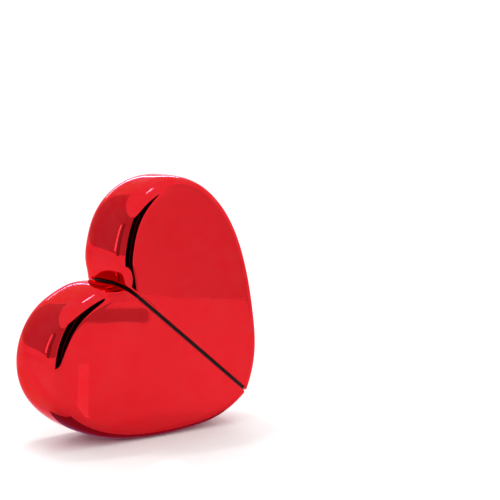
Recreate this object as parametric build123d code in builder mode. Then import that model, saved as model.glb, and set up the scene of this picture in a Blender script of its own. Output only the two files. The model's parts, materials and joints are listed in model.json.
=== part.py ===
"""Heart-shaped wind-up music box: two mirror-bright half hearts that turn on each other.

Millimetres, +Z up. The origin is the centre of the flat foot, and the front face looks along -Y.
The upper half is the winder: it turns about the seam plane's normal and winds the spring movement
that the lower half holds. Inside, heights are measured from the seam plane, down is negative, and
x runs along the seam towards the heart's tip.
"""
import os
from math import cos, pi, radians, sin

from build123d import *

os.makedirs("parts", exist_ok=True)

# Heart, driving dimensions
lean = 38  # the seam plane falls this many degrees towards the tip
thickness = 34
edge_round = 7.6  # how far the rounded edge brings the outline in at the front and back faces
edge_power = 3  # exponent of the edge's superellipse
edge_sweep = 78  # degrees of the superellipse used, so that it meets the flat face at a slight angle
wall = 1.8
seam_gap = 1.4
cleft_x = -13.3  # where the seam's measures start, from the middle of the foot
cleft_height = 63
lobe_points = (  # one half's outline from cleft to tip: along the seam, out from the seam
    (-8.2, -3.7), (-12.5, 0.7), (-17.1, 4.5), (-22.7, 12.6), (-27.2, 25.7), (-23.3, 45.7),
    (-10.4, 58.5), (17.0, 60.3), (38.2, 50.7), (60.5, 33.2), (75.1, 16.8), (81.6, 0.0), (82.8, -7.2),
)
outline_steps = 28

# Decks, the black plates that close the two mouths
deck_clearance = 0.1
deck_face = 0.2  # from the seam plane to each deck's outer face
deck_back = 2.6
flange_inset = 0.8  # the decks' thin flanges fill the seam gap to this far below the skin
flange_back = 0.66
deck_screw_spots = ((-41.6, 0), (32, 0))
boss_radius = 2.6
boss_depth = 14
sound_slots = ((24, -6), (24, 0), (24, 6))
washer_radius = 12

# Movement, driving dimensions
swivel_u = 40  # the swivel axis, measured along the seam from the cleft
module = 0.6
worm_module = 0.5
wheel_teeth = 36
cylinder_pinion_teeth = 18
governor_pinion_teeth = 10
worm_wheel_teeth = 24
plate_half_width = 12.8
plate_corner = 4
top_plate_span = (-38.6, 13.5)
bottom_plate_span = (-38.6, 1.5)
top_plate_low = -4.2
bottom_plate_top = -40
bottom_plate_low = -41.5
pillar_spots = ((-8.1, -11), (-8.1, 11))
movement_screw_spots = ((-26, -9.5), (-26, 9.5), (10.5, 0))
running = 0.05  # radial clearance of a shaft in its bearing

# Cylinder and comb
cylinder_radius = 6
cylinder_span = (-37, -21.4)
pin_radius = 0.22
pin_height = 0.45
note_count = 18
beat_count = 40
comb_gap = 0.12  # from the pins' tips to the comb's tips
comb_thickness = 0.8
comb_root = -36.6
bridge_span = (-37.6, -30.6)

# Governor
worm_radius = 1.6
worm_height = -27.6
worm_span = (-4.9, 0.1)
worm_shaft_span = (-6.1, 14.5)
ear_spots = (-6.2, 13.6)
web_low = -24.2
web_high = -23.2
fly_span = (4, 12)
fly_radius = 3.2

# Places worked out from the sizes above
along = (cos(radians(lean)), 0, -sin(radians(lean)))
outward = (sin(radians(lean)), 0, cos(radians(lean)))
cleft = Vector(cleft_x, 0, cleft_height)
seam = Plane(origin=cleft + Vector(along) * swivel_u, x_dir=along, z_dir=outward)
cylinder_x = -(wheel_teeth + cylinder_pinion_teeth) * module / 2
governor_x = cylinder_x + (wheel_teeth + governor_pinion_teeth) * module / 2
worm_y = -(worm_wheel_teeth * worm_module / 2 + worm_radius)
cylinder_spot = ((cylinder_x, 0),)
governor_spot = ((governor_x, 0),)
comb_tip = cylinder_x - cylinder_radius - pin_height - comb_gap


def inside(x, y, z):
    """The place of a point given along the seam, across it and out from it."""
    return seam.from_local_coords(Vector(x, y, z))


def facing_down(height):
    """The plane at a height over the seam that faces away from the upper half; its y is turned round."""
    return Plane(origin=inside(0, 0, height), x_dir=along, z_dir=[-part for part in outward])


def lobe_section(depth, inset):
    """Return one half's outline on a plane parallel to the front face, moved in by an inset."""
    slice_plane = Plane(origin=cleft + Vector(0, depth, 0), x_dir=along, z_dir=(0, -1, 0))
    with BuildSketch(slice_plane) as outline:
        with BuildLine():
            spots = []
            for step in range(outline_steps + 1):
                spot = lobe_curve @ (step / outline_steps)
                heading = lobe_curve % (step / outline_steps)
                spots.append((spot.X + heading.Y * inset, spot.Y - heading.X * inset))
            Spline(*spots)
            Line(spots[-1], spots[0])
        make_face()
    return outline.sketch


def lobe_solid(shrink):
    """Loft one half heart, overrunning the seam, a given distance inside the outer skin."""
    sections = []
    full_rise = sin(radians(edge_sweep)) ** (2 / edge_power)
    full_fall = 1 - cos(radians(edge_sweep)) ** (2 / edge_power)
    for step in range(-6, 7):
        angle = radians(edge_sweep * abs(step) / 6)
        depth = (thickness / 2 - shrink) * sin(angle) ** (2 / edge_power) / full_rise
        inset = edge_round * (1 - cos(angle) ** (2 / edge_power)) / full_fall
        sections.append(lobe_section(depth if step > 0 else -depth, shrink + inset))
    loft(sections)


def disc(radius, low, high, spots=((0, 0),), mode=Mode.ADD):
    """Add or cut round bars that run between two heights over the seam plane."""
    with BuildSketch(seam.offset(low)) as outline:
        with Locations(*spots):
            Circle(radius)
    extrude(outline.sketch, amount=high - low, mode=mode)


def slab(x_span, half_width, low, high, corner=0, mode=Mode.ADD):
    """Add or cut a flat plate that lies parallel to the seam plane."""
    with BuildSketch(seam.offset(low)) as outline:
        with Locations(((x_span[0] + x_span[1]) / 2, 0)):
            if corner:
                RectangleRounded(x_span[1] - x_span[0], 2 * half_width, corner)
            else:
                Rectangle(x_span[1] - x_span[0], 2 * half_width)
    extrude(outline.sketch, amount=high - low, mode=mode)


def block(x_span, y_span, z_span, mode=Mode.ADD):
    """Add or cut a square block given by its spans in the movement's own directions."""
    with BuildSketch(seam.offset(z_span[0])) as outline:
        with Locations(((x_span[0] + x_span[1]) / 2, (y_span[0] + y_span[1]) / 2)):
            Rectangle(x_span[1] - x_span[0], y_span[1] - y_span[0])
    extrude(outline.sketch, amount=z_span[1] - z_span[0], mode=mode)


def gear(teeth, size, low, high, x=0, turn=0):
    """Add a toothed wheel whose first tooth points at an angle from the tip's direction."""
    pitch_radius = teeth * size / 2
    flank = ((pitch_radius - 1.2 * size, 0.33), (pitch_radius, 0.22), (pitch_radius + 0.85 * size, 0.1))
    corners = [(radius, -share) for radius, share in flank]
    corners += [(radius, share) for radius, share in reversed(flank)]
    ring = []
    for tooth in range(teeth):
        for radius, share in corners:
            angle = radians(turn + 360 * (tooth + share) / teeth)
            ring.append((x + radius * cos(angle), radius * sin(angle)))
    with BuildSketch(seam.offset(low)) as outline:
        Polygon(*ring, align=None)
    extrude(outline.sketch, amount=high - low)


def pan_screws(place, spots, shank, length, head, rise):
    """Add slotted screws whose heads stand on a plane."""
    with BuildSketch(place) as outline:
        with Locations(*spots):
            Circle(head)
    extrude(outline.sketch, amount=rise)
    with BuildSketch(place) as outline:
        with Locations(*spots):
            Circle(shank)
    extrude(outline.sketch, amount=-length)
    with BuildSketch(place.offset(rise)) as outline:
        with Locations(*spots):
            Rectangle(2 * head, head / 4)
    extrude(outline.sketch, amount=-rise / 2, mode=Mode.SUBTRACT)


def flush_screws(place, spots, shank, length, head):
    """Add slotted screws whose countersunk heads lie flush with a plane."""
    with BuildSketch(place) as outline:
        with Locations(*spots):
            Circle(head)
    extrude(outline.sketch, amount=-(head - shank), taper=45)
    with BuildSketch(place) as outline:
        with Locations(*spots):
            Circle(shank)
    extrude(outline.sketch, amount=-length)
    with BuildSketch(place) as outline:
        with Locations(*spots):
            Rectangle(2 * head, head / 4)
    extrude(outline.sketch, amount=-(head - shank) / 2, mode=Mode.SUBTRACT)


def flush_holes(place, spots, shank, depth, head):
    """Cut countersunk holes a little larger than their screws."""
    with BuildSketch(place) as outline:
        with Locations(*spots):
            Circle(head + running)
    extrude(outline.sketch, amount=-(head - shank), taper=45, mode=Mode.SUBTRACT)
    with BuildSketch(place) as outline:
        with Locations(*spots):
            Circle(shank + running)
    extrude(outline.sketch, amount=-depth, mode=Mode.SUBTRACT)


lobe_curve = Spline(*lobe_points, mode=Mode.PRIVATE)

# Half hearts: the lobe, its hollow, and the plate that fits the hollow's mouth
with BuildPart() as lobe:
    lobe_solid(0)

with BuildPart() as hollow:
    lobe_solid(wall)

with BuildPart() as mouth:
    lobe_solid(wall + deck_clearance)

with BuildPart() as flange:
    lobe_solid(flange_inset)
    split(bisect_by=seam.offset(deck_face), keep=Keep.TOP)
    split(bisect_by=seam.offset(flange_back), keep=Keep.BOTTOM)

with BuildPart() as skin:
    add(lobe.part)
    add(hollow.part, mode=Mode.SUBTRACT)

deck_screw_shank = 1.0
deck_screw_head = 1.9
deck_screw_length = 9
with BuildPart() as upper_shell:
    disc(boss_radius, deck_back, boss_depth, deck_screw_spots)
    rib_reach = 14
    for spot_x, end_x in zip((deck_screw_spots[0][0], deck_screw_spots[1][0]), (-rib_reach, rib_reach)):
        block(sorted((spot_x, spot_x + end_x)), (-1, 1), (deck_back, boss_depth))
    add(lobe.part, mode=Mode.INTERSECT)
    add(skin.part)
    split(bisect_by=seam.offset(seam_gap / 2), keep=Keep.TOP)
    disc(deck_screw_shank, deck_back, deck_back + deck_screw_length, deck_screw_spots, Mode.SUBTRACT)
upper_shell.part.label = "upper_shell"
export_step(upper_shell.part, "parts/upper_shell.step")

with BuildPart() as lower_shell:
    add(mirror(upper_shell.part, about=seam, mode=Mode.PRIVATE))
    split(bisect_by=Plane.XY, keep=Keep.TOP)
lower_shell.part.label = "lower_shell"
export_step(lower_shell.part, "parts/lower_shell.step")

movement_screw_shank = 0.95
movement_screw_head = 2.0
swivel_bore = 2.5
upper_face = facing_down(deck_face)
lower_face = seam.offset(-deck_face)
with BuildPart() as lower_deck:
    add(mirror(mouth.part, about=seam, mode=Mode.PRIVATE))
    split(bisect_by=lower_face, keep=Keep.BOTTOM)
    split(bisect_by=seam.offset(-deck_back), keep=Keep.TOP)
    add(mirror(flange.part, about=seam, mode=Mode.PRIVATE))
    disc(swivel_bore, -deck_back, 0, mode=Mode.SUBTRACT)
    with BuildSketch(lower_face):
        with Locations(*sound_slots):
            SlotOverall(12, 1.4)
    extrude(amount=-deck_back, mode=Mode.SUBTRACT)
    flush_holes(lower_face, deck_screw_spots, deck_screw_shank, deck_back, deck_screw_head)
    flush_holes(lower_face, movement_screw_spots, movement_screw_shank, deck_back, movement_screw_head)
lower_deck.part.label = "lower_deck"
export_step(lower_deck.part, "parts/lower_deck.step")

hub_screw_circle = 6.8
hub_screw_spots = [
    (hub_screw_circle * cos(radians(angle)), hub_screw_circle * sin(radians(angle)))
    for angle in (90, 210, 330)
]
hub_screw_shank = 0.75
hub_screw_length = 3.4
hub_span = (deck_back, 8.0)
hub_flange_top = 4.6
square_side = 3.2
with BuildPart() as upper_deck:
    add(mouth.part)
    split(bisect_by=seam.offset(deck_face), keep=Keep.TOP)
    split(bisect_by=seam.offset(deck_back), keep=Keep.BOTTOM)
    add(flange.part)
    disc(swivel_bore, 0, deck_back, mode=Mode.SUBTRACT)
    hub_hole_low = hub_flange_top - hub_screw_length - running
    disc(hub_screw_shank + running, hub_hole_low, deck_back, hub_screw_spots, Mode.SUBTRACT)
    flush_holes(upper_face, deck_screw_spots, deck_screw_shank, deck_back, deck_screw_head)
upper_deck.part.label = "upper_deck"
export_step(upper_deck.part, "parts/upper_deck.step")

deck_screw = (deck_screw_shank - running, deck_screw_length, deck_screw_head)
with BuildPart() as lower_deck_screws:
    flush_screws(lower_face, deck_screw_spots, *deck_screw)
lower_deck_screws.part.label = "lower_deck_screws"
export_step(lower_deck_screws.part, "parts/lower_deck_screws.step")

with BuildPart() as upper_deck_screws:
    flush_screws(upper_face, deck_screw_spots, *deck_screw)
upper_deck_screws.part.label = "upper_deck_screws"
export_step(upper_deck_screws.part, "parts/upper_deck_screws.step")

with BuildPart() as movement_screws:
    reach = -deck_face - top_plate_low
    flush_screws(lower_face, movement_screw_spots, movement_screw_shank, reach, movement_screw_head)
movement_screws.part.label = "movement_screws"
export_step(movement_screws.part, "parts/movement_screws.step")

with BuildPart() as swivel_washer:
    disc(washer_radius, -deck_face, deck_face - 0.03)
    disc(swivel_bore, -deck_face, deck_face, mode=Mode.SUBTRACT)
swivel_washer.part.label = "swivel_washer"
export_step(swivel_washer.part, "parts/swivel_washer.step")

# Winding drive: hub, arbor and its bushing
arbor_radius = 2.3
arbor_core = 2.6
arbor_tail = 1.8
arbor_square_low = 2.5  # heights of the arbor's steps, from the square in the hub down to the clip
arbor_square_high = 7.8
arbor_shoulder = -4.4
arbor_core_low = -15.3
arbor_tail_low = -19.4
ratchet_square_low = -20.9
clip_neck_low = -21.4
arbor_end = -22.2
bushing_radius = 3.4
with BuildPart() as drive_hub:
    disc(9, hub_span[0], hub_flange_top)
    disc(4.5, hub_flange_top, hub_span[1])
    socket = square_side / 2 + running
    block((-socket, socket), (-socket, socket), hub_span, Mode.SUBTRACT)
    disc(hub_screw_shank + running, hub_span[0], hub_flange_top, hub_screw_spots, Mode.SUBTRACT)
drive_hub.part.label = "drive_hub"
export_step(drive_hub.part, "parts/drive_hub.step")

with BuildPart() as hub_screws:
    pan_screws(seam.offset(hub_flange_top), hub_screw_spots, hub_screw_shank, hub_screw_length, 1.5, 1.0)
hub_screws.part.label = "hub_screws"
export_step(hub_screws.part, "parts/hub_screws.step")

with BuildPart() as winding_arbor:
    square = (-square_side / 2, square_side / 2)
    block(square, square, (arbor_square_low, arbor_square_high))
    disc(arbor_radius, arbor_shoulder, arbor_square_low)
    disc(arbor_core, arbor_core_low, arbor_shoulder)
    disc(arbor_tail, arbor_tail_low, arbor_core_low)
    block((-1.2, 1.2), (-1.2, 1.2), (ratchet_square_low, arbor_tail_low))
    disc(0.8, clip_neck_low, ratchet_square_low)
    disc(1.15, arbor_end, clip_neck_low)
    disc(1.0, arbor_square_low + 0.3, arbor_square_high, mode=Mode.SUBTRACT)
winding_arbor.part.label = "winding_arbor"
export_step(winding_arbor.part, "parts/winding_arbor.step")

with BuildPart() as arbor_screw:
    pan_screws(seam.offset(hub_span[1]), ((0, 0),), 0.95, 4.6, 3.2, 1.4)
arbor_screw.part.label = "arbor_screw"
export_step(arbor_screw.part, "parts/arbor_screw.step")

with BuildPart() as arbor_bushing:
    disc(bushing_radius, top_plate_low, -deck_back)
    disc(arbor_radius + running, top_plate_low, -deck_back, mode=Mode.SUBTRACT)
arbor_bushing.part.label = "arbor_bushing"
export_step(arbor_bushing.part, "parts/arbor_bushing.step")

# Movement frame: two plates, two pillars, and the bridge that carries the comb
cylinder_arbor_radius = 1.0
governor_arbor_radius = 0.8
barrel_screw_circle = 10.75
barrel_screw_spots = [
    (barrel_screw_circle * cos(radians(angle)), barrel_screw_circle * sin(radians(angle)))
    for angle in (60, 180, 300)
]
bridge_screw_spots = (((bridge_span[0] + bridge_span[1]) / 2, 3.2),)
frame_screw_shank = 0.8
frame_screw_head = 1.5
frame_screw_rise = 0.9
bracket_screw_spots = ((-1.5, -9.9),)
with BuildPart() as top_plate:
    slab(top_plate_span, plate_half_width, top_plate_low, -deck_back, plate_corner)
    disc(bushing_radius, top_plate_low, -deck_back, mode=Mode.SUBTRACT)
    disc(cylinder_arbor_radius + running, top_plate_low, -deck_back, cylinder_spot, Mode.SUBTRACT)
    disc(movement_screw_shank + running, top_plate_low, -deck_back, movement_screw_spots, Mode.SUBTRACT)
    disc(frame_screw_shank + running, top_plate_low, -deck_back, barrel_screw_spots, Mode.SUBTRACT)
    for spots in (pillar_spots, bridge_screw_spots):
        flush_holes(seam.offset(-deck_back), spots, frame_screw_shank, 1.6, frame_screw_head)
top_plate.part.label = "top_plate"
export_step(top_plate.part, "parts/top_plate.step")

bottom_plate_heights = (bottom_plate_low, bottom_plate_top)
with BuildPart() as bottom_plate:
    slab(bottom_plate_span, plate_half_width, *bottom_plate_heights, plate_corner)
    disc(cylinder_arbor_radius + running, *bottom_plate_heights, cylinder_spot, Mode.SUBTRACT)
    disc(governor_arbor_radius + running, *bottom_plate_heights, governor_spot, Mode.SUBTRACT)
    for spots in (pillar_spots, bridge_screw_spots, bracket_screw_spots):
        disc(frame_screw_shank + running, *bottom_plate_heights, spots, Mode.SUBTRACT)
bottom_plate.part.label = "bottom_plate"
export_step(bottom_plate.part, "parts/bottom_plate.step")

with BuildPart() as pillars:
    disc(1.6, bottom_plate_top, top_plate_low, pillar_spots)
    for low, high in ((bottom_plate_top, bottom_plate_top + 5), (top_plate_low - 5, top_plate_low)):
        disc(frame_screw_shank + running, low, high, pillar_spots, Mode.SUBTRACT)
pillars.part.label = "pillars"
export_step(pillars.part, "parts/pillars.step")

comb_screw_heights = (-33.2, -25.4)
comb_screw_x = -34.4
comb_front = Plane(origin=inside(0, -comb_thickness / 2, 0), x_dir=along, z_dir=(0, -1, 0))
comb_screw_spots = [(comb_screw_x, height) for height in comb_screw_heights]
with BuildPart() as comb_bridge:
    block(bridge_span, (comb_thickness / 2, 5.4), (bottom_plate_top, top_plate_low))
    for low, high in ((bottom_plate_top, bottom_plate_top + 5), (top_plate_low - 5, top_plate_low)):
        disc(frame_screw_shank + running, low, high, bridge_screw_spots, Mode.SUBTRACT)
    with BuildSketch(comb_front):
        with Locations(*comb_screw_spots):
            Circle(frame_screw_shank + running)
    extrude(amount=-5, mode=Mode.SUBTRACT)
comb_bridge.part.label = "comb_bridge"
export_step(comb_bridge.part, "parts/comb_bridge.step")

with BuildPart() as comb:
    with BuildSketch(comb_front):
        with Locations(((comb_root + comb_tip) / 2, sum(cylinder_span) / 2)):
            Rectangle(comb_tip - comb_root, cylinder_span[1] - cylinder_span[0] - 0.2)
        pitch = (cylinder_span[1] - cylinder_span[0] - 0.2) / note_count
        for note in range(1, note_count):
            slot_height = cylinder_span[0] + 0.1 + note * pitch
            slot_length = 5.5 + 3 * note / note_count
            with Locations((comb_tip - slot_length / 2, slot_height)):
                Rectangle(slot_length, 0.2, mode=Mode.SUBTRACT)
        with Locations(*comb_screw_spots):
            Circle(frame_screw_shank + running, mode=Mode.SUBTRACT)
    extrude(amount=-comb_thickness)
comb.part.label = "comb"
export_step(comb.part, "parts/comb.step")

with BuildPart() as comb_screws:
    pan_screws(comb_front, comb_screw_spots, frame_screw_shank, 4.6, 1.6, 1.0)
comb_screws.part.label = "comb_screws"
export_step(comb_screws.part, "parts/comb_screws.step")

with BuildPart() as frame_screws:
    for spots in (pillar_spots, bridge_screw_spots):
        flush_screws(seam.offset(-deck_back), spots, frame_screw_shank, 5.5, frame_screw_head)
        underside = facing_down(bottom_plate_low)
        flipped = [(x, -y) for x, y in spots]
        pan_screws(underside, flipped, frame_screw_shank, 5.5, frame_screw_head, frame_screw_rise)
frame_screws.part.label = "frame_screws"
export_step(frame_screws.part, "parts/frame_screws.step")

# Spring drive: barrel, mainspring, great wheel, ratchet and click
barrel_radius = 9.6
barrel_low = -16.4
barrel_wall = 0.8
barrel_floor = 1.0
barrel_flange_radius = 12
barrel_flange_low = top_plate_low - 0.9
spring_turns = 6
spring_strip = 0.3
spring_inner = 2.9
spring_outer = 8.4
with BuildPart() as spring_barrel:
    disc(barrel_radius, barrel_low, top_plate_low)
    disc(barrel_flange_radius, barrel_flange_low, top_plate_low)
    disc(barrel_radius - barrel_wall, barrel_low + barrel_floor, top_plate_low, mode=Mode.SUBTRACT)
    disc(arbor_tail + running, barrel_low, barrel_low + barrel_floor, mode=Mode.SUBTRACT)
    screw_hole = frame_screw_shank + running
    disc(screw_hole, barrel_flange_low, top_plate_low, barrel_screw_spots, Mode.SUBTRACT)
spring_barrel.part.label = "spring_barrel"
export_step(spring_barrel.part, "parts/spring_barrel.step")

with BuildPart() as barrel_screws:
    flipped = [(x, -y) for x, y in barrel_screw_spots]
    pan_screws(facing_down(barrel_flange_low), flipped, frame_screw_shank, 2.4, 1.1, 0.8)
barrel_screws.part.label = "barrel_screws"
export_step(barrel_screws.part, "parts/barrel_screws.step")

with BuildPart() as mainspring:
    with BuildSketch(seam.offset(-15)):
        with BuildLine():
            edges = []
            for side in (0, spring_strip):
                spiral = []
                for step in range(spring_turns * 12 + 1):
                    angle = 2 * pi * step / 12
                    share = step / (spring_turns * 12)
                    reach = spring_inner + (spring_outer - spring_inner) * share + side
                    spiral.append((reach * cos(angle), reach * sin(angle)))
                Spline(*spiral)
                edges.append(spiral)
            Line(edges[0][0], edges[1][0])
            Line(edges[0][-1], edges[1][-1])
        make_face()
    extrude(amount=10)
mainspring.part.label = "mainspring"
export_step(mainspring.part, "parts/mainspring.step")

wheel_span = (-18.9, -17.1)
ratchet_span = (-20.7, -19.5)
click_pivot = (4.6, 6.0)
click_nose = (-0.2, 5.3)
click_pin_radius = 0.8
with BuildPart() as great_wheel:
    gear(wheel_teeth, module, *wheel_span)
    disc(arbor_tail + running, *wheel_span, mode=Mode.SUBTRACT)
    disc(click_pin_radius + running, *wheel_span, (click_pivot,), Mode.SUBTRACT)
great_wheel.part.label = "great_wheel"
export_step(great_wheel.part, "parts/great_wheel.step")

ratchet_teeth = 12
with BuildPart() as ratchet_wheel:
    saw = []
    for tooth in range(ratchet_teeth):
        for radius, share in ((5.0, 0.0), (3.9, 0.12)):
            angle = 2 * pi * (tooth + share) / ratchet_teeth
            saw.append((radius * cos(angle), radius * sin(angle)))
    with BuildSketch(seam.offset(ratchet_span[0])):
        Polygon(*saw, align=None)
        Rectangle(2.5, 2.5, mode=Mode.SUBTRACT)
    extrude(amount=ratchet_span[1] - ratchet_span[0])
ratchet_wheel.part.label = "ratchet_wheel"
export_step(ratchet_wheel.part, "parts/ratchet_wheel.step")

with BuildPart() as click:
    with BuildSketch(seam.offset(ratchet_span[0])):
        with Locations(click_pivot):
            Circle(1.5)
        with Locations(click_nose):
            Circle(0.25)
        make_hull()
        with Locations(click_pivot):
            Circle(click_pin_radius + running, mode=Mode.SUBTRACT)
    extrude(amount=1)
click.part.label = "click"
export_step(click.part, "parts/click.step")

with BuildPart() as click_pin:
    disc(click_pin_radius, ratchet_span[0], wheel_span[1], (click_pivot,))
    disc(1.3, ratchet_span[0] - 0.5, ratchet_span[0], (click_pivot,))
click_pin.part.label = "click_pin"
export_step(click_pin.part, "parts/click_pin.step")

with BuildPart() as arbor_clip:
    clip_heights = (clip_neck_low + running, ratchet_square_low - running)
    disc(2.4, *clip_heights)
    disc(0.82, *clip_heights, mode=Mode.SUBTRACT)
    block((0, 3), (-0.7, 0.7), clip_heights, Mode.SUBTRACT)
arbor_clip.part.label = "arbor_clip"
export_step(arbor_clip.part, "parts/arbor_clip.step")

# Cylinder: arbor, pinion, pinned barrel, and the wheel that drives the governor
cylinder_wheel_span = (-39, -37.6)
cylinder_pinion_span = (-19.2, -16.9)
cylinder_bore = cylinder_radius - 0.8
cylinder_arbor_span = (-41.3, -2.8)
with BuildPart() as cylinder_arbor:
    disc(cylinder_arbor_radius, *cylinder_arbor_span, cylinder_spot)
cylinder_arbor.part.label = "cylinder_arbor"
export_step(cylinder_arbor.part, "parts/cylinder_arbor.step")

with BuildPart() as cylinder_pinion:
    gear(cylinder_pinion_teeth, module, *cylinder_pinion_span, cylinder_x, 180 / cylinder_pinion_teeth)
    disc(cylinder_arbor_radius, *cylinder_pinion_span, cylinder_spot, Mode.SUBTRACT)
cylinder_pinion.part.label = "cylinder_pinion"
export_step(cylinder_pinion.part, "parts/cylinder_pinion.step")

with BuildPart() as pinned_cylinder:
    disc(cylinder_radius, *cylinder_span, cylinder_spot)
    pin_places = []
    for note in range(note_count):
        height = cylinder_span[0] + 0.1 + (note + 0.5) * pitch
        for beat in range(beat_count):
            if (beat * 5 + note * note * 3 + note * beat) % 13 == 0:
                turn = Location((cylinder_x, 0, height), (0, 0, 360 * beat / beat_count))
                pin_places.append(seam.location * turn * Location((cylinder_radius, 0, 0), (0, 90, 0)))
    with Locations(*pin_places):
        Cylinder(pin_radius, 2 * pin_height)
    disc(cylinder_bore, cylinder_span[0], cylinder_span[1] - 1, cylinder_spot, Mode.SUBTRACT)
    disc(cylinder_arbor_radius, *cylinder_span, cylinder_spot, Mode.SUBTRACT)
pinned_cylinder.part.label = "pinned_cylinder"
export_step(pinned_cylinder.part, "parts/pinned_cylinder.step")

with BuildPart() as cylinder_wheel:
    gear(wheel_teeth, module, *cylinder_wheel_span, cylinder_x)
    collar_high = cylinder_span[0] + 1
    disc(cylinder_bore - running, cylinder_wheel_span[1], collar_high, cylinder_spot)
    disc(cylinder_arbor_radius, cylinder_wheel_span[0], collar_high, cylinder_spot, Mode.SUBTRACT)
cylinder_wheel.part.label = "cylinder_wheel"
export_step(cylinder_wheel.part, "parts/cylinder_wheel.step")

# Governor: pinion and worm wheel on one arbor, then the worm and its fly
governor_pinion_span = (-39.4, -37.2)
with BuildPart() as governor_arbor:
    disc(governor_arbor_radius, cylinder_arbor_span[0], web_high - 0.1, governor_spot)
governor_arbor.part.label = "governor_arbor"
export_step(governor_arbor.part, "parts/governor_arbor.step")

with BuildPart() as governor_pinion:
    gear(governor_pinion_teeth, module, *governor_pinion_span, governor_x, 180 / governor_pinion_teeth)
    disc(governor_arbor_radius, *governor_pinion_span, governor_spot, Mode.SUBTRACT)
governor_pinion.part.label = "governor_pinion"
export_step(governor_pinion.part, "parts/governor_pinion.step")

worm_wheel_rim = (worm_height - 0.5, worm_height + 0.5)
worm_wheel_boss_high = worm_height + 1.5
with BuildPart() as worm_wheel:
    gear(worm_wheel_teeth, worm_module, *worm_wheel_rim, governor_x)
    disc(1.8, worm_wheel_rim[1], worm_wheel_boss_high, governor_spot)
    disc(governor_arbor_radius, worm_wheel_rim[0], worm_wheel_boss_high, governor_spot, Mode.SUBTRACT)
worm_wheel.part.label = "worm_wheel"
export_step(worm_wheel.part, "parts/worm_wheel.step")

worm_pitch = pi * worm_module
worm_core = 1.0
worm_shaft = 0.6
worm_line = Plane(origin=inside(0, worm_y, worm_height), x_dir=(0, 1, 0), z_dir=along)
with BuildPart() as worm:
    with BuildSketch(worm_line.offset(worm_shaft_span[0])):
        Circle(worm_shaft)
    extrude(amount=worm_shaft_span[1] - worm_shaft_span[0])
    with BuildSketch(worm_line.offset(worm_span[0])):
        Circle(worm_core)
    extrude(amount=worm_span[1] - worm_span[0])
    # The helix starts facing the upper half and faces the wheel after three quarters of a turn,
    # so this start puts the gap between two threads at the wheel's tooth.
    thread_centre = worm_line.offset(governor_x - 1.25 * worm_pitch).origin
    with BuildLine() as thread_line:
        Helix(worm_pitch, 2.5 * worm_pitch, worm_radius, center=thread_centre, direction=along)
    with BuildSketch(Plane(origin=thread_line.line @ 0, x_dir=outward, z_dir=thread_line.line % 0)):
        Polygon((-0.65, -0.36), (0.45, -0.16), (0.45, 0.16), (-0.65, 0.36), align=None)
    sweep(path=thread_line.line, is_frenet=True)
worm.part.label = "worm"
export_step(worm.part, "parts/worm.step")

with BuildPart() as fly:
    with BuildSketch(worm_line.offset(fly_span[0])):
        Rectangle(2 * fly_radius, 0.35)
        Circle(1.1)
        Circle(worm_shaft, mode=Mode.SUBTRACT)
    extrude(amount=fly_span[1] - fly_span[0])
fly.part.label = "fly"
export_step(fly.part, "parts/fly.step")

bracket_side = -12.6
bracket_leg = (-4, 1)
foot_heights = (bottom_plate_top, bottom_plate_top + 1.2)
with BuildPart() as governor_bracket:
    block((ear_spots[0], ear_spots[1] + 1), (bracket_side, 3.6), (web_low, web_high))
    for ear in ear_spots:
        block((ear, ear + 1), (-10.6, -6.3), (worm_height - 3, web_low))
    block(bracket_leg, (bracket_side, -11.4), (bottom_plate_top, web_low))
    block(bracket_leg, (bracket_side, -8.4), foot_heights)
    disc(governor_arbor_radius + running, web_low, web_high, governor_spot, Mode.SUBTRACT)
    disc(frame_screw_shank + running, *foot_heights, bracket_screw_spots, Mode.SUBTRACT)
    with BuildSketch(worm_line.offset(ear_spots[0])):
        Circle(worm_shaft + running)
    extrude(amount=ear_spots[1] + 1 - ear_spots[0], mode=Mode.SUBTRACT)
governor_bracket.part.label = "governor_bracket"
export_step(governor_bracket.part, "parts/governor_bracket.step")

with BuildPart() as bracket_screw:
    bracket_seat = seam.offset(foot_heights[1])
    pan_screws(bracket_seat, bracket_screw_spots, frame_screw_shank, 2.4, 1.3, frame_screw_rise)
bracket_screw.part.label = "bracket_screw"
export_step(bracket_screw.part, "parts/bracket_screw.step")
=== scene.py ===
import json
import math

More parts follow.
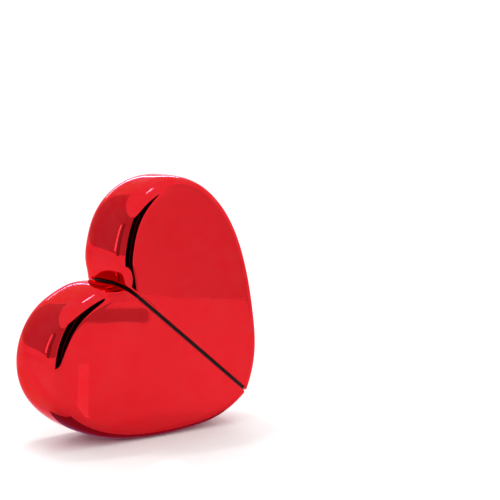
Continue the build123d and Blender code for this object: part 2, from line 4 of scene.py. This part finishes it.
import bmesh
import bpy
import numpy as np
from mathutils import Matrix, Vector


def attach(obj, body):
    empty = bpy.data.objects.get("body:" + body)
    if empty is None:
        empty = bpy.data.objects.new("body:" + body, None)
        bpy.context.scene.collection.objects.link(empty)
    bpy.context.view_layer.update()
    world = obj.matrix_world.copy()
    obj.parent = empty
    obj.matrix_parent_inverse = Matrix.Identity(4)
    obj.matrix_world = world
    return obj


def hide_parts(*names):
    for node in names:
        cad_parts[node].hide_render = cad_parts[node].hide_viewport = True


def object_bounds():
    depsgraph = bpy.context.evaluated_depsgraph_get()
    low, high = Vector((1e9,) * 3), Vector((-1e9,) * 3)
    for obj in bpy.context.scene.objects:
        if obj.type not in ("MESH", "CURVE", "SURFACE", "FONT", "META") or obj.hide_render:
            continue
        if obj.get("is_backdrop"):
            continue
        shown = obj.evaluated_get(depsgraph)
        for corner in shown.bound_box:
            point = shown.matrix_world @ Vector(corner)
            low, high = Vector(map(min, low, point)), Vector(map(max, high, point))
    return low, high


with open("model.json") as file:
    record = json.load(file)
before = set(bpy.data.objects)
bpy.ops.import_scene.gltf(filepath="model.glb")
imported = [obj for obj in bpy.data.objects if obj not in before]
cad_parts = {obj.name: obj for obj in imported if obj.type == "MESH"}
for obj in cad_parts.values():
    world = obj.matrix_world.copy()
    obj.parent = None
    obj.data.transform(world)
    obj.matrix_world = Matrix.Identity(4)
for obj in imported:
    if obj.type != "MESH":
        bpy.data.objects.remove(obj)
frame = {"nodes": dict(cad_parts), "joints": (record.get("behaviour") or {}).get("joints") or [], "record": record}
cad_low, cad_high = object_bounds()
nodes = frame["nodes"]
MM = 0.001

# Heart sizes, as in the CAD part, in millimetres
THICKNESS = 34
EDGE_ROUND = 7.6  # how far the rounded edge brings the outline in at the faces
EDGE_POWER = 3
WALL = 1.8
SEAM_GAP = 1.4
SWIVEL_U = 40  # from the cleft to the swivel axis, along the seam
LOBE_POINTS = (
    (-8.2, -3.7), (-12.5, 0.7), (-17.1, 4.5), (-22.7, 12.6), (-27.2, 25.7), (-23.3, 45.7),
    (-10.4, 58.5), (17.0, 60.3), (38.2, 50.7), (60.5, 33.2), (75.1, 16.8), (81.6, 0.0), (82.8, -7.2),
)

# The smooth skin's own sizes, in millimetres
LIP_ROUND = 0.5  # rounding of the mouth's outer edge
INNER_LIP = 0.01  # the same on the inside, next to nothing
DOME = 0.6  # the faces stand this much higher in the middle than at the rim
DOME_CENTRE_U = 30  # the dome's middle, along the seam from the cleft
DOME_REACH = 62  # from its middle to where the dome has fallen away
SKIN_INSET = 0.06  # keeps the smooth skin inside the CAD shell
FOOT_WALL = 0.9  # least height of the skin's inside over the foot
FACE_CENTRE = (30, 24)  # the rings that fill a face shrink towards this (u, v)

# How finely the skin is divided
CURVE_POINTS = 6000
COLUMNS = 150  # along the outline, before the extra ones at its ends
EDGE_ROWS = 27  # round the edge, from the middle plane to a face
ROW_CROWDING = 1.5  # above 1, the rows lie closer together towards the faces
SEAM_POINTS = 60
RING_SCALES = (0.9985, 0.996, 0.992, 0.985, 0.97, 0.94, 0.9, 0.8, 0.65, 0.5, 0.35, 0.2, 0.08)
SHARP_ANGLE = 35  # degrees between faces that shade as an edge

swivel = next(joint for joint in frame["joints"] if joint["name"] == "upper_half_turn")
outward = Vector(swivel["axis"])
along = Vector((outward.z, 0, -outward.x))
cleft = Vector(swivel["pos_m"]) - along * SWIVEL_U * MM


# Half shells ---------------------------------------------------------------------------------

def fair_curve(points, count):
    """A natural cubic spline through points: positions and headings at evenly spaced parameters."""
    points = np.array(points, float)
    knots = np.concatenate([[0], np.cumsum(np.linalg.norm(np.diff(points, axis=0), axis=1))])
    spans = np.diff(knots)
    size = len(points)
    system = np.eye(size)
    target = np.zeros((size, 2))
    for i in range(1, size - 1):
        system[i, i - 1:i + 2] = spans[i - 1], 2 * (spans[i - 1] + spans[i]), spans[i]
        rise = (points[i + 1] - points[i]) / spans[i] - (points[i] - points[i - 1]) / spans[i - 1]
        target[i] = 6 * rise
    bend = np.linalg.solve(system, target)
    at = np.linspace(0, knots[-1], count)
    i = np.clip(np.searchsorted(knots, at) - 1, 0, size - 2)
    left, right, span = (knots[i + 1] - at)[:, None], (at - knots[i])[:, None], spans[i][:, None]
    start = points[i] / span - bend[i] * span / 6
    end = points[i + 1] / span - bend[i + 1] * span / 6
    place = (bend[i] * left**3 + bend[i + 1] * right**3) / (6 * span) + start * left + end * right
    heading = (bend[i + 1] * right**2 - bend[i] * left**2) / (2 * span) - start + end
    return place, heading / np.linalg.norm(heading, axis=1)[:, None]


CURVE, HEADING = fair_curve(LOBE_POINTS, CURVE_POINTS)
INWARD = np.stack([HEADING[:, 1], -HEADING[:, 0]], axis=1)


def half_depth(u, v):
    """Half the heart's thickness over a point of its front view, with the slight dome."""
    reach = ((u - DOME_CENTRE_U) / DOME_REACH) ** 2 + (v / DOME_REACH) ** 2
    return THICKNESS / 2 - SKIN_INSET - DOME * np.clip(reach, 0, 1)


def lip(height, radius):
    """How far a rounded lip draws the skin in at a height over the mouth's edge."""
    short = np.clip(radius - height, 0, radius)
    return radius - np.sqrt(radius**2 - short**2)


def end_weighted(count):
    """Fractions from 0 to 1, with extra ones close to both ends for the lip's rounding."""
    close = np.array([0, 0.0008, 0.002, 0.0035, 0.006])
    return np.concatenate([close, np.linspace(0.012, 0.988, count), 1 - close[::-1]])


def skin(shrink, lip_radius):
    """One half's skin in heart millimetres (u, v, y): its points, its faces, and its mouth's loop."""
    edge = SEAM_GAP / 2
    turns = np.linspace(0, 1, EDGE_ROWS)
    angles = np.radians(90) * (1 - (1 - turns) ** ROW_CROWDING)
    rows = []
    for angle in np.concatenate([-angles[:0:-1], angles]):
        rise = abs(math.sin(angle)) ** (2 / EDGE_POWER)
        fall = max(math.cos(angle), 0) ** (2 / EDGE_POWER)
        moved = CURVE + INWARD * (shrink + SKIN_INSET + EDGE_ROUND * (1 - fall))
        above = np.flatnonzero(moved[:, 1] > edge)
        at = above[0] + end_weighted(COLUMNS) * (above[-1] - above[0])
        index = np.arange(len(moved))
        u, v = np.interp(at, index, moved[:, 0]), np.interp(at, index, moved[:, 1])
        pull = lip(v - v.min(), lip_radius)
        u = u + np.interp(at, index, INWARD[:, 0]) * pull * math.cos(angle) ** 2
        v = np.maximum(v, edge)
        v[0] = v[-1] = edge
        y = math.copysign(rise, angle) * (half_depth(u, v) - shrink - pull * math.sin(angle) ** 2)
        rows.append(np.stack([u, v, y], axis=1))
    points = np.concatenate(rows)
    width, depth = len(rows[0]), len(rows)
    faces = []
    for row in range(depth - 1):
        for column in range(width - 1):
            corner = row * width + column
            faces.append((corner, corner + 1, corner + width + 1, corner + width))
    straights = []
    for row, sign in ((0, -1), (depth - 1, 1)):
        points, straight = cap(points, faces, row * width, width, sign, shrink, lip_radius)
        straights.append(straight)
    first = [row * width for row in range(depth)]
    last = [row * width + width - 1 for row in range(depth)]
    loop = first + straights[1][::-1] + last[::-1] + straights[0]
    return points, faces, loop


def cap(points, faces, start, width, sign, shrink, lip_radius):
    """Fill one flat face inside the skin's rim, ring by ring; gives the points along its seam edge."""
    edge = SEAM_GAP / 2
    rim = list(range(start, start + width))
    seam_u = np.linspace(points[rim[-1], 0], points[rim[0], 0], SEAM_POINTS + 2)[1:-1]
    seam_y = sign * (half_depth(seam_u, edge) - shrink - lip_radius)
    seam = np.stack([seam_u, np.full(SEAM_POINTS, edge), seam_y], axis=1)
    straight = list(range(len(points), len(points) + SEAM_POINTS))
    points = np.concatenate([points, seam])
    ring = rim + straight
    border = points[ring]
    centre = np.array(FACE_CENTRE)
    for scale in RING_SCALES:
        flat = centre + (border[:, :2] - centre) * scale
        lift = half_depth(flat[:, 0], flat[:, 1]) - shrink - lip(flat[:, 1] - edge, lip_radius)
        inner = list(range(len(points), len(points) + len(ring)))
        points = np.concatenate([points, np.column_stack([flat, sign * lift])])
        for i in range(len(ring)):
            after = (i + 1) % len(ring)
            faces.append((ring[i], ring[after], inner[after], inner[i]))
        ring = inner
    top = sign * (half_depth(*centre) - shrink)
    points = np.concatenate([points, [[*centre, top]]])
    for i in range(len(ring)):
        faces.append((ring[i], ring[(i + 1) % len(ring)], len(points) - 1))
    return points, straight


def half_shell(name, side, body, node):
    """Build one half's closed, smooth shell, standing for its CAD node."""
    outer, faces, outer_loop = skin(0, LIP_ROUND)
    inner, inner_faces, inner_loop = skin(WALL, INNER_LIP)
    base = len(outer)
    faces = faces + [tuple(base + i for i in face) for face in inner_faces]
    inner_loop = [base + i for i in inner_loop]
    for i in range(len(outer_loop)):
        after = (i + 1) % len(outer_loop)
        faces.append((outer_loop[i], outer_loop[after], inner_loop[after], inner_loop[i]))
    places = []
    for number, (u, v, y) in enumerate(np.concatenate([outer, inner])):
        place = cleft + (along * u + outward * v * side + Vector((0, 1, 0)) * y) * MM
        floor = cad_low.z if number < base else cad_low.z + FOOT_WALL * MM
        place.z = max(place.z, floor)
        places.append(place)
    mesh = bpy.data.meshes.new(name)
    mesh.from_pydata(places, [], faces)
    work = bmesh.new()
    work.from_mesh(mesh)
    bmesh.ops.recalc_face_normals(work, faces=work.faces)
    work.to_mesh(mesh)
    work.free()
    mesh.shade_smooth()
    mesh.set_sharp_from_angle(angle=math.radians(SHARP_ANGLE))
    shell = bpy.data.objects.new(name, mesh)
    bpy.context.scene.collection.objects.link(shell)
    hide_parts(node)
    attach(shell, body)
    return shell


# Materials -----------------------------------------------------------------------------------

def new_material(name, **sockets):
    """A material with a Principled shader whose plain sockets are set directly."""
    material = bpy.data.materials.new(name)
    material.use_nodes = True
    shader = material.node_tree.nodes["Principled BSDF"]
    for socket, value in sockets.items():
        shader.inputs[socket.replace("_", " ")].default_value = value
    return material, material.node_tree, shader


def noise(tree, scale, detail=4, stretch=(1, 1, 1)):
    """Noise in the object's own metres; scale is in features per metre."""
    place = tree.nodes.new("ShaderNodeTexCoord")
    mapping = tree.nodes.new("ShaderNodeMapping")
    mapping.inputs["Scale"].default_value = stretch
    texture = tree.nodes.new("ShaderNodeTexNoise")
    texture.inputs["Scale"].default_value = scale
    texture.inputs["Detail"].default_value = detail
    tree.links.new(place.outputs["Object"], mapping.inputs["Vector"])
    tree.links.new(mapping.outputs["Vector"], texture.inputs["Vector"])
    return texture.outputs["Fac"]


def ramp(tree, factor, low, high, start=0.3, stop=0.7):
    """Spread a factor between two colours."""
    spread = tree.nodes.new("ShaderNodeValToRGB")
    spread.color_ramp.elements[0].position = start
    spread.color_ramp.elements[1].position = stop
    spread.color_ramp.elements[0].color = (*low, 1)
    spread.color_ramp.elements[1].color = (*high, 1)
    tree.links.new(factor, spread.inputs["Fac"])
    return spread.outputs["Color"]


def span(tree, factor, low, high):
    """Spread a factor between two numbers."""
    spread = tree.nodes.new("ShaderNodeMapRange")
    spread.inputs["From Min"].default_value = 0.3
    spread.inputs["From Max"].default_value = 0.7
    spread.inputs["To Min"].default_value = low
    spread.inputs["To Max"].default_value = high
    tree.links.new(factor, spread.inputs["Value"])
    return spread.outputs["Result"]


def bump(tree, shader, height, depth):
    """Raise a shader's surface by a height signal; depth is in metres."""
    node = tree.nodes.new("ShaderNodeBump")
    node.inputs["Distance"].default_value = depth
    tree.links.new(height, node.inputs["Height"])
    tree.links.new(node.outputs["Normal"], shader.inputs["Normal"])


def red_mirror():
    """Vacuum-metallised plastic under clear red lacquer: a mirror with a faint orange peel."""
    material, tree, shader = new_material(
        "metallised_red", Metallic=1.0, Coat_Weight=0.12, Coat_Roughness=0.015, Coat_IOR=1.5,
        Specular_Tint=(0.90, 0.34, 0.42, 1))
    links = tree.links
    tone = ramp(tree, noise(tree, 30), (0.63, 0.006, 0.012), (0.67, 0.008, 0.015))
    links.new(tone, shader.inputs["Base Color"])
    links.new(span(tree, noise(tree, 90), 0.025, 0.05), shader.inputs["Roughness"])
    bump(tree, shader, noise(tree, 55, 2), 0.00004)
    return material


def black_plastic():
    """Satin black moulding with a fine spark-eroded texture."""
    material, tree, shader = new_material("black_moulding", Specular_IOR_Level=0.25)
    links = tree.links
    tone = ramp(tree, noise(tree, 400), (0.0015, 0.0015, 0.002), (0.004, 0.0035, 0.0035))
    links.new(tone, shader.inputs["Base Color"])
    links.new(span(tree, noise(tree, 900), 0.4, 0.6), shader.inputs["Roughness"])
    bump(tree, shader, noise(tree, 4000, 2), 0.00003)
    return material


def pale_polymer():
    """Natural acetal: off-white, slightly translucent, with faint flow marks."""
    material, tree, shader = new_material("acetal", Subsurface_Weight=0.15, Subsurface_Scale=0.001)
    links = tree.links
    tone = noise(tree, 300, 3, (1, 1, 3))
    colour = ramp(tree, tone, (0.74, 0.71, 0.63), (0.84, 0.82, 0.76))
    links.new(colour, shader.inputs["Base Color"])
    links.new(span(tree, noise(tree, 1500), 0.35, 0.5), shader.inputs["Roughness"])
    bump(tree, shader, noise(tree, 3000, 2), 0.00002)
    return material


def worked_metal(name, dark, light, smooth, rough, stretch, grain):
    """Metal with a tone that wanders, and tool marks drawn out along one direction."""
    material, tree, shader = new_material(name, Metallic=1.0)
    links = tree.links
    links.new(ramp(tree, noise(tree, 150), dark, light), shader.inputs["Base Color"])
    marks = noise(tree, grain, 6, stretch)
    links.new(span(tree, marks, smooth, rough), shader.inputs["Roughness"])
    bump(tree, shader, marks, 0.00001)
    return material


def node_materials():
    """One finish for each of the record's material slots."""
    across = (1, 8, 1)
    metals = {  # slot: name, dark tone, light tone, roughness from and to, stretch, grain
        "brass": ("turned_brass", (0.62, 0.40, 0.14), (0.80, 0.57, 0.25), 0.18, 0.34, across, 900),
        "plated_steel": ("nickel_plate", (0.50, 0.49, 0.46), (0.66, 0.65, 0.62), 0.2, 0.38, across, 700),
        "comb_steel": ("ground_steel", (0.42, 0.43, 0.45), (0.60, 0.61, 0.63), 0.15, 0.32, (8, 1, 1), 900),
        "spring_steel": ("blued_steel", (0.06, 0.09, 0.20), (0.20, 0.20, 0.30), 0.2, 0.35, across, 800),
        "steel_screw": ("zinc_plate", (0.42, 0.43, 0.44), (0.58, 0.59, 0.60), 0.25, 0.42, (1, 1, 6), 1200),
    }
    finishes = {
        "red_mirror": red_mirror(),
        "black_plastic": black_plastic(),
        "pale_polymer": pale_polymer(),
    }
    for slot, values in metals.items():
        finishes[slot] = worked_metal(*values)
    return finishes


materials = node_materials()
for part in frame["record"]["subparts"]:
    mesh = nodes[part["node"]].data
    mesh.materials.clear()
    mesh.materials.append(materials[part["material_slot"]])

for name, side, body, node in (
    ("upper_skin", 1, "upper_half", "upper_shell"),
    ("lower_skin", -1, "lower_half", "lower_shell"),
):
    half_shell(name, side, body, node).data.materials.append(materials["red_mirror"])


# Stage, light and camera -----------------------------------------------------------------------

def panel(name, corners, material):
    """A flat stage panel through four corners, in metres."""
    mesh = bpy.data.meshes.new(name)
    mesh.from_pydata(corners, [], [(0, 1, 2, 3)])
    mesh.materials.append(material)
    piece = bpy.data.objects.new(name, mesh)
    bpy.context.scene.collection.objects.link(piece)
    piece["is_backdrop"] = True
    return piece


def glow(name, low, high=None):
    """Plain emission for a reflection card, or a blend from one end of its X extent to the other."""
    material = bpy.data.materials.new(name)
    material.use_nodes = True
    tree = material.node_tree
    tree.nodes.clear()
    light = tree.nodes.new("ShaderNodeEmission")
    light.inputs["Color"].default_value = (*low, 1)
    out = tree.nodes.new("ShaderNodeOutputMaterial")
    tree.links.new(light.outputs["Emission"], out.inputs["Surface"])
    if high:
        place = tree.nodes.new("ShaderNodeTexCoord")
        parts = tree.nodes.new("ShaderNodeSeparateXYZ")
        tree.links.new(place.outputs["Generated"], parts.inputs["Vector"])
        tree.links.new(ramp(tree, parts.outputs["X"], low, high, 0, 1), light.inputs["Color"])
    return material


def gloss_only(piece):
    """Let a stage piece show in reflections and nowhere else."""
    piece.visible_camera = False
    piece.visible_diffuse = False
    piece.visible_shadow = False


def polar(azimuth, distance):
    """A floor point seen from the object's front, left of it for positive angles."""
    angle = math.radians(azimuth)
    return (-math.sin(angle) * distance, -math.cos(angle) * distance)


def standing_card(name, base, low, high, material):
    """A standing card over a line of floor points, seen only in reflections."""
    mesh = bpy.data.meshes.new(name)
    points = [(*spot, low) for spot in base] + [(*spot, high) for spot in base]
    count = len(base)
    mesh.from_pydata(points, [], [(i, i + 1, count + i + 1, count + i) for i in range(count - 1)])
    mesh.materials.append(material)
    card = bpy.data.objects.new(name, mesh)
    bpy.context.scene.collection.objects.link(card)
    card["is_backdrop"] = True
    gloss_only(card)


def arc(start, end, distance, count=16):
    """Floor points along an arc round the object."""
    return [polar(start + (end - start) * i / count, distance) for i in range(count + 1)]


floor_material, floor_tree, floor_shader = new_material("paper_sweep", Roughness=0.6)
floor_tree.links.new(
    ramp(floor_tree, noise(floor_tree, 40), (0.92, 0.918, 0.915), (0.94, 0.938, 0.935)),
    floor_shader.inputs["Base Color"])
bump(floor_tree, floor_shader, noise(floor_tree, 2500, 2), 0.00003)
reach = 6
floor_corners = [(-reach, -reach, 0), (reach, -reach, 0), (reach, reach, 0), (-reach, reach, 0)]
panel("floor", floor_corners, floor_material)

# Cards stand where the room's walls, windows and lamps show in the mirror faces.
CARDS = (  # name, floor line, low edge, high edge, colour, far colour
    ("room_dark", arc(-17, 56, 0.30), 0.0, 0.33, (0.003, 0.002, 0.003), None),
    ("room_gleam", arc(12, 14, 0.28, 2), 0.02, 0.24, (0.26, 0.24, 0.24), None),
    ("room_front", [(0.215, -0.425), (0.262, -0.369), (0.292, -0.318), (0.36, -0.21)], 0.0, 0.7,
     (1.12, 1.12, 1.12), (0.90, 0.90, 0.90)),
    ("room_near", [(0.085, -0.305), (0.106, -0.318), (0.124, -0.300), (0.139, -0.301), (0.150, -0.288)],
     0.0, 0.035, (0.73, 0.73, 0.73), None),
    ("room_sill", [(0.150, -0.288), (0.163, -0.284), (0.176, -0.271)], 0.0, 0.010,
     (0.73, 0.73, 0.73), None),
    ("room_side", arc(58, 178, 1.0), 0.135, 1.0, (0.67, 0.67, 0.67), (0.87, 0.87, 0.87)),
    ("room_post", arc(100, 113, 0.9), 0.10, 0.62, (0.36, 0.36, 0.36), None),
    ("room_window", arc(117, 121, 0.85, 4), 0.16, 0.50, (3.2, 3.2, 3.2), None),
    ("lamp_back", arc(-136, -172, 0.9), 0.405, 0.450, (24, 24, 24), None),
    ("lamp_foot", [(-0.027, -0.047), (-0.018, -0.052)], 0.0, 0.03, (1.36, 1.36, 1.36), None),
)
for name, base, low, high, colour, far in CARDS:
    standing_card(name, base, low, high, glow(name, colour, far))

# Painted shade: a dark purple sheet just over the floor under the lobes, seen only in reflections, standing in for
# the heart's own shadow on the floor
floor_shade_height = 0.0004
floor_shade_corners = [(-0.052, -0.016), (0.045, -0.016), (0.045, 0.016), (-0.052, 0.016)]
floor_shade_material = glow("painted_floor_shade", (0.30, 0.14, 0.30))
gloss_only(panel("painted_floor_shade", [(*corner, floor_shade_height) for corner in floor_shade_corners], floor_shade_material))

world = bpy.data.worlds.new("studio")
bpy.context.scene.world = world
world.use_nodes = True
sky = world.node_tree.nodes["Background"]
sky.inputs["Color"].default_value = (1, 1, 1, 1)
sky.inputs["Strength"].default_value = 1.25  # bright enough for the ground to come out white

key_data = bpy.data.lights.new("lamp_over", "AREA")
key_data.shape = "RECTANGLE"
key_data.size, key_data.size_y, key_data.energy = 0.16, 0.06, 1.2
key = bpy.data.objects.new("lamp_over", key_data)
key.location = (-0.02, 0.24, 0.95)
key.rotation_euler = (Vector((0, 0, 0.05)) - key.location).to_track_quat("-Z", "Y").to_euler()
bpy.context.scene.collection.objects.link(key)

camera_data = bpy.data.cameras.new("camera")
camera_data.lens = 112.1  # a long lens from 0.7 m, as the slight perspective shows
camera = bpy.data.objects.new("camera", camera_data)
camera.location = (-0.4149, -0.5547, 0.1687)
camera.rotation_euler = (math.radians(82.940), math.radians(-1.009), math.radians(-40.598))
bpy.context.scene.collection.objects.link(camera)
bpy.context.scene.camera = camera
bpy.context.scene.view_settings.view_transform = "Standard"

low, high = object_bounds()
